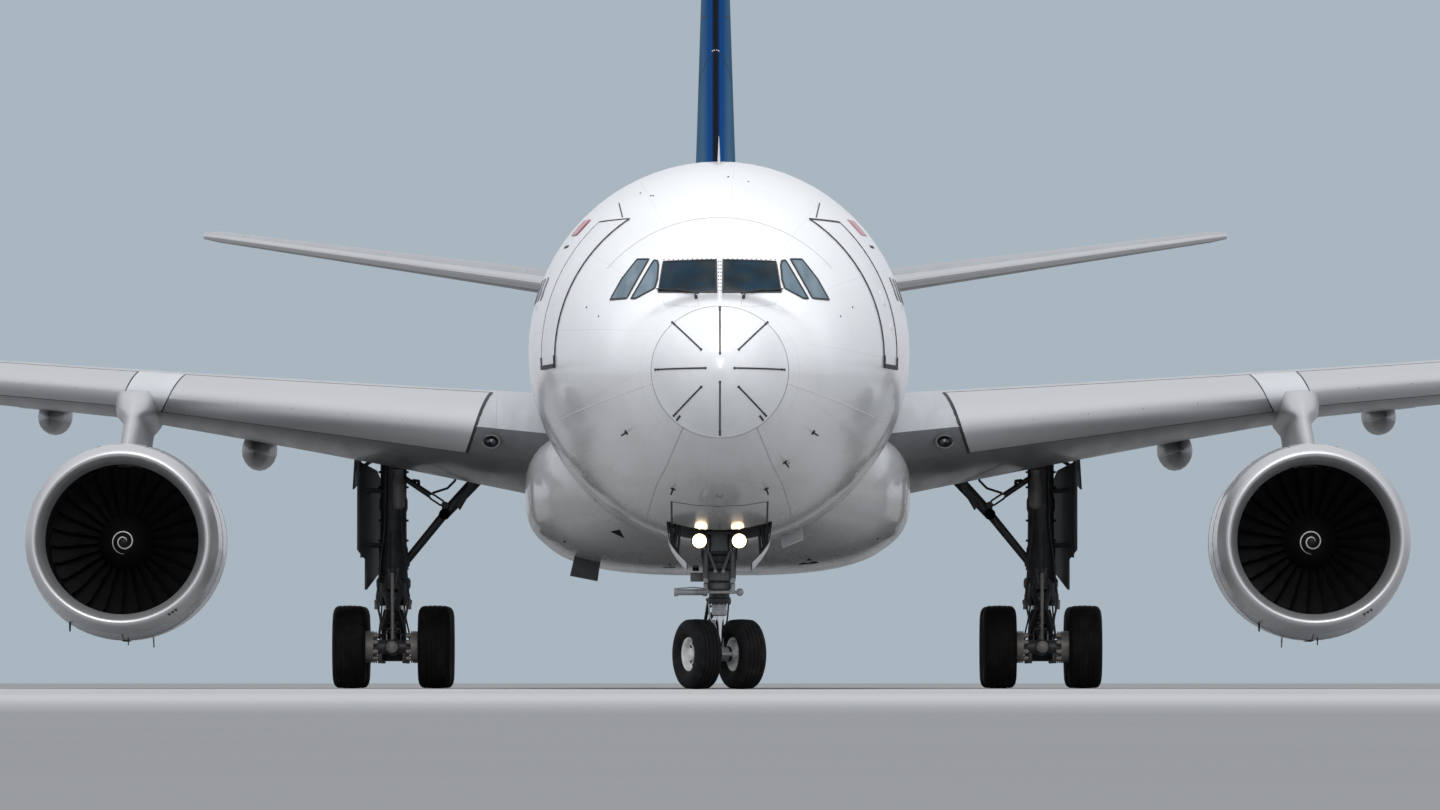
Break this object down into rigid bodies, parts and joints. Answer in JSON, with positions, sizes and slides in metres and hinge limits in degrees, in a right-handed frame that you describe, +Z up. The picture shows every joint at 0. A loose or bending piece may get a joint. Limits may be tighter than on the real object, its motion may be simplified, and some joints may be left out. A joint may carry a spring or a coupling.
{
  "type": "wide-body twin-engined airliner, scale model at 1:2",
  "caption": "Low-wing wide-body jet airliner on its landing gear, with turning wheels and fans, hinged control surfaces, flaps and cargo doors.",
  "frame": {"origin": "on the ground under the middle of the object's box, on the aircraft's middle plane", "axes": "+Z up, -Y towards the nose, +X towards the port wing tip"},
  "size_m": [30.1218, 29.41, 8.695],
  "materials": {
    "white_paint": "gloss",
    "grey_paint": "satin",
    "blue_paint": "gloss",
    "bare_metal": "polished",
    "gear_metal": "satin",
    "dark_metal": "satin",
    "wheel_paint": "satin",
    "tyre": "matt",
    "dark_glass": "gloss"
  },
  "bodies": {
    "airframe": {"fuselage": "white_paint", "radome": "white_paint", "cockpit_glazing": "dark_glass", "belly_fairing": "grey_paint", "fin": "blue_paint", "wing_left": "grey_paint", "wing_right": "grey_paint", "intake_lip_left": "bare_metal", "intake_lip_right": "bare_metal", "nacelle_left": "grey_paint", "nacelle_right": "grey_paint", "engine_core_left": "dark_metal", "engine_core_right": "dark_metal", "pylon_left": "grey_paint", "pylon_right": "grey_paint", "nose_leg": "gear_metal", "nose_stay": "gear_metal", "nose_lamps": "gear_metal", "nose_gear_door_left": "white_paint", "nose_gear_door_right": "white_paint", "main_leg_left": "gear_metal", "main_leg_right": "gear_metal", "side_stay_left": "gear_metal", "side_stay_right": "gear_metal", "bogie_beam_left": "gear_metal", "bogie_beam_right": "gear_metal", "leg_door_left": "white_paint", "leg_door_right": "white_paint"},
    "cargo_door_front": {"cargo_door_front": "white_paint"},
    "cargo_door_rear": {"cargo_door_rear": "white_paint"},
    "rudder": {"rudder": "blue_paint"},
    "tailplane": {"tailplane": "grey_paint"},
    "elevator_left": {"elevator_left": "grey_paint"},
    "elevator_right": {"elevator_right": "grey_paint"},
    "flap_inboard_left": {"flap_inboard_left": "grey_paint"},
    "flap_inboard_right": {"flap_inboard_right": "grey_paint"},
    "flap_outboard_left": {"flap_outboard_left": "grey_paint"},
    "flap_outboard_right": {"flap_outboard_right": "grey_paint"},
    "aileron_inboard_left": {"aileron_inboard_left": "grey_paint"},
    "aileron_inboard_right": {"aileron_inboard_right": "grey_paint"},
    "aileron_outboard_left": {"aileron_outboard_left": "grey_paint"},
    "aileron_outboard_right": {"aileron_outboard_right": "grey_paint"},
    "fan_left": {"fan_left": "dark_metal"},
    "fan_right": {"fan_right": "dark_metal"},
    "nose_steering": {"nose_piston": "gear_metal"},
    "nose_wheels": {"nose_wheels": "wheel_paint", "nose_tyre_left": "tyre", "nose_tyre_right": "tyre"},
    "main_wheels_front_left": {"main_wheels_front_left": "wheel_paint", "main_tyre_front_outer_left": "tyre", "main_tyre_front_inner_left": "tyre"},
    "main_wheels_rear_left": {"main_wheels_rear_left": "wheel_paint", "main_tyre_rear_outer_left": "tyre", "main_tyre_rear_inner_left": "tyre"},
    "main_wheels_front_right": {"main_wheels_front_right": "wheel_paint", "main_tyre_front_outer_right": "tyre", "main_tyre_front_inner_right": "tyre"},
    "main_wheels_rear_right": {"main_wheels_rear_right": "wheel_paint", "main_tyre_rear_outer_right": "tyre", "main_tyre_rear_inner_right": "tyre"}
  },
  "joints": [
    {"name": "cargo_door_front_hinge", "type": "hinge", "parent": "airframe", "child": "cargo_door_front", "pos_m": [-1.39028, -8.03, 2.25], "axis": [0, 1, 0], "range_deg": [0, 140]},
    {"name": "cargo_door_rear_hinge", "type": "hinge", "parent": "airframe", "child": "cargo_door_rear", "pos_m": [-1.35489, 5.595, 2.25], "axis": [0.0347, 0.9994, 0], "range_deg": [0, 140]},
    {"name": "rudder_hinge", "type": "hinge", "parent": "airframe", "child": "rudder", "pos_m": [0, 12.113, 6.35], "axis": [0, 0.5236, 0.852], "range_deg": [-35, 35]},
    {"name": "tailplane_trim", "type": "hinge", "parent": "airframe", "child": "tailplane", "pos_m": [0, 11.78853, 3.64475], "axis": [-1, 0, 0], "range_deg": [-10, 6]},
    {"name": "elevator_left_hinge", "type": "hinge", "parent": "tailplane", "child": "elevator_left", "pos_m": [2.7125, 12.78642, 4.01306], "axis": [-0.9139, -0.3836, -0.1331], "range_deg": [-30, 15]},
    {"name": "elevator_right_hinge", "type": "hinge", "parent": "tailplane", "child": "elevator_right", "pos_m": [-2.7125, 12.78642, 4.01306], "axis": [-0.9139, 0.3836, 0.1331], "range_deg": [-30, 15]},
    {"name": "flap_inboard_left_hinge", "type": "hinge", "parent": "airframe", "child": "flap_inboard_left", "pos_m": [3.1875, -0.1125, 1.43307], "axis": [-0.9746, -0.1409, -0.1743], "range_deg": [0, 32]},
    {"name": "flap_inboard_right_hinge", "type": "hinge", "parent": "airframe", "child": "flap_inboard_right", "pos_m": [-3.1875, -0.1125, 1.43307], "axis": [-0.9746, 0.1409, 0.1743], "range_deg": [0, 32]},
    {"name": "flap_outboard_left_hinge", "type": "hinge", "parent": "airframe", "child": "flap_outboard_left", "pos_m": [7.4875, 1.36986, 1.99768], "axis": [-0.9064, -0.4125, -0.0912], "range_deg": [0, 32]},
    {"name": "flap_outboard_right_hinge", "type": "hinge", "parent": "airframe", "child": "flap_outboard_right", "pos_m": [-7.4875, 1.36986, 1.99768], "axis": [-0.9064, 0.4125, 0.0912], "range_deg": [0, 32]},
    {"name": "aileron_inboard_left_hinge", "type": "hinge", "parent": "airframe", "child": "aileron_inboard_left", "pos_m": [10.97, 2.95485, 2.97325], "axis": [-0.9064, -0.4125, -0.0912], "range_deg": [-25, 25]},
    {"name": "aileron_inboard_right_hinge", "type": "hinge", "parent": "airframe", "child": "aileron_inboard_right", "pos_m": [-10.97, 2.95485, 2.97325], "axis": [-0.9064, 0.4125, 0.0912], "range_deg": [-25, 25]},
    {"name": "aileron_outboard_left_hinge", "type": "hinge", "parent": "airframe", "child": "aileron_outboard_left", "pos_m": [13.0875, 3.9186, 3.18642], "axis": [-0.9064, -0.4125, -0.0912], "range_deg": [-25, 25]},
    {"name": "aileron_outboard_right_hinge", "type": "hinge", "parent": "airframe", "child": "aileron_outboard_right", "pos_m": [-13.0875, 3.9186, 3.18642], "axis": [-0.9064, 0.4125, 0.0912], "range_deg": [-25, 25]},
    {"name": "fan_left_spin", "type": "hinge", "parent": "airframe", "child": "fan_left", "pos_m": [4.685, -4.12, 1.16], "axis": [0, 1, 0], "continuous": true},
    {"name": "fan_right_spin", "type": "hinge", "parent": "airframe", "child": "fan_right", "pos_m": [-4.685, -4.12, 1.16], "axis": [0, 1, 0], "continuous": true},
    {"name": "nose_steering_turn", "type": "hinge", "parent": "airframe", "child": "nose_steering", "pos_m": [0, -11.37, 0.5], "axis": [0, 0, 1], "range_deg": [-97, 47]},
    {"name": "nose_wheels_spin", "type": "hinge", "parent": "nose_steering", "child": "nose_wheels", "pos_m": [0, -11.37, 0.25433], "axis": [0.9063, 0.4226, 0], "continuous": true},
    {"name": "main_wheels_front_left_spin", "type": "hinge", "parent": "airframe", "child": "main_wheels_front_left", "pos_m": [2.67, -0.775, 0.34075], "axis": [1, 0, 0], "continuous": true},
    {"name": "main_wheels_rear_left_spin", "type": "hinge", "parent": "airframe", "child": "main_wheels_rear_left", "pos_m": [2.67, 0.215, 0.34075], "axis": [1, 0, 0], "continuous": true},
    {"name": "main_wheels_front_right_spin", "type": "hinge", "parent": "airframe", "child": "main_wheels_front_right", "pos_m": [-2.67, -0.775, 0.34075], "axis": [1, 0, 0], "continuous": true},
    {"name": "main_wheels_rear_right_spin", "type": "hinge", "parent": "airframe", "child": "main_wheels_rear_right", "pos_m": [-2.67, 0.215, 0.34075], "axis": [1, 0, 0], "continuous": true}
  ]
}
